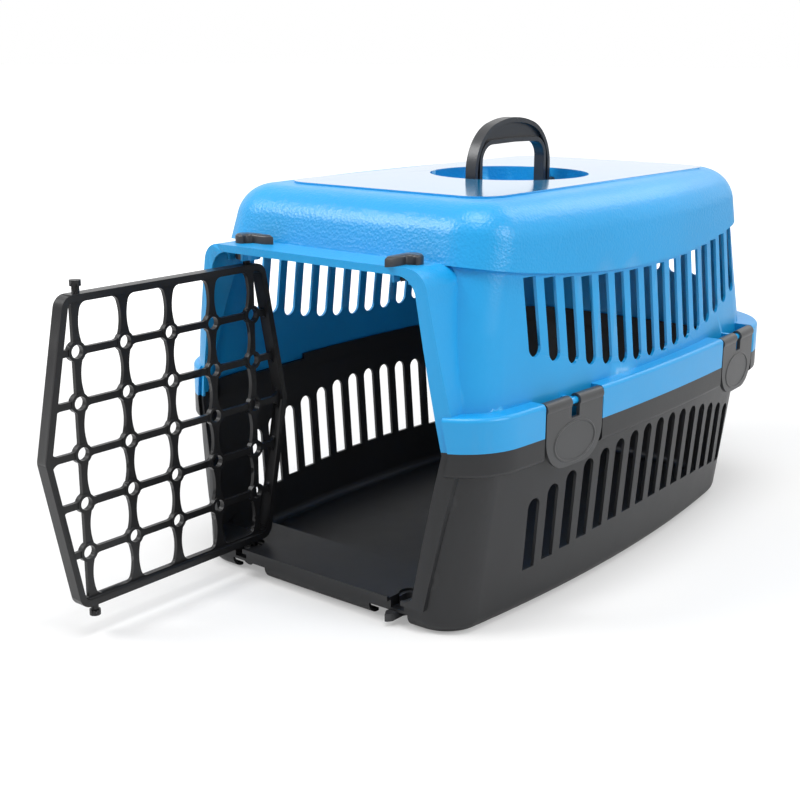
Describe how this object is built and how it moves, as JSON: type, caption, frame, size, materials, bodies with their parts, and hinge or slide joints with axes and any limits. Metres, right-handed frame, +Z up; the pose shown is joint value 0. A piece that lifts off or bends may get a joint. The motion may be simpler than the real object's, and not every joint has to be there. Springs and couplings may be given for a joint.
{
  "type": "pet carrier",
  "caption": "Two-part plastic pet carrier with swing-open grille door, lock levers, side clips, slotted walls and folding carry handle.",
  "frame": {"origin": "centre of the base's flat underside, at the level it rests on", "axes": "+Z up, -Y out of the doorway, +Y towards the rear, X across the carrier"},
  "size_m": [0.321, 0.6728, 0.3492],
  "materials": {
    "base_shell": "satin",
    "top_shell": "satin",
    "door_grille": "satin",
    "lever_top_left": "satin",
    "lever_top_right": "satin",
    "lever_bottom_left": "satin",
    "lever_bottom_right": "satin",
    "clip_right_front": "satin",
    "clip_left_front": "satin",
    "clip_right_rear": "satin",
    "clip_left_rear": "satin",
    "carry_handle": "satin"
  },
  "bodies": {
    "base": {"base_shell": "base_shell"},
    "top": {"top_shell": "top_shell"},
    "door": {"door_grille": "door_grille"},
    "lever_top_left": {"lever_top_left": "lever_top_left"},
    "lever_top_right": {"lever_top_right": "lever_top_right"},
    "lever_bottom_left": {"lever_bottom_left": "lever_bottom_left"},
    "lever_bottom_right": {"lever_bottom_right": "lever_bottom_right"},
    "clip_right_front": {"clip_right_front": "clip_right_front"},
    "clip_left_front": {"clip_left_front": "clip_left_front"},
    "clip_right_rear": {"clip_right_rear": "clip_right_rear"},
    "clip_left_rear": {"clip_left_rear": "clip_left_rear"},
    "handle": {"carry_handle": "carry_handle"}
  },
  "joints": [
    {"name": "door_hinge", "type": "hinge", "parent": "base", "child": "door", "pos_m": [-0.08, -0.234, 0.134], "axis": [0, 0, 1], "range_deg": [-15, 90]},
    {"name": "top_lift", "type": "slide", "parent": "base", "child": "top", "axis": [0, 0, 1], "range_m": [0, 0.13]},
    {"name": "lever_top_left_turn", "type": "hinge", "parent": "top", "child": "lever_top_left", "pos_m": [-0.08, -0.234, 0.262], "axis": [0, 0, 1], "range_deg": [-90, 0]},
    {"name": "lever_top_right_turn", "type": "hinge", "parent": "top", "child": "lever_top_right", "pos_m": [0.08, -0.234, 0.262], "axis": [0, 0, 1], "range_deg": [-90, 0]},
    {"name": "lever_bottom_left_turn", "type": "hinge", "parent": "base", "child": "lever_bottom_left", "pos_m": [-0.08, -0.234, 0.008], "axis": [0, 0, 1], "range_deg": [-90, 0]},
    {"name": "lever_bottom_right_turn", "type": "hinge", "parent": "base", "child": "lever_bottom_right", "pos_m": [0.08, -0.234, 0.008], "axis": [0, 0, 1], "range_deg": [-90, 0]},
    {"name": "clip_right_front_turn", "type": "hinge", "parent": "top", "child": "clip_right_front", "pos_m": [0.15347, -0.13979, 0.158], "axis": [-0.0532, -0.9986, 0], "range_deg": [0, 100]},
    {"name": "clip_left_front_turn", "type": "hinge", "parent": "top", "child": "clip_left_front", "pos_m": [-0.15347, -0.13979, 0.158], "axis": [-0.0532, 0.9986, 0], "range_deg": [0, 100]},
    {"name": "clip_right_rear_turn", "type": "hinge", "parent": "top", "child": "clip_right_rear", "pos_m": [0.15041, 0.1397, 0.158], "axis": [0.075, -0.9972, 0], "range_deg": [0, 100]},
    {"name": "clip_left_rear_turn", "type": "hinge", "parent": "top", "child": "clip_left_rear", "pos_m": [-0.15041, 0.1397, 0.158], "axis": [0.075, 0.9972, 0], "range_deg": [0, 100]},
    {"name": "handle_swing", "type": "hinge", "parent": "top", "child": "handle", "pos_m": [0, 0, 0.291], "axis": [0, 1, 0], "range_deg": [-90, 90]}
  ]
}
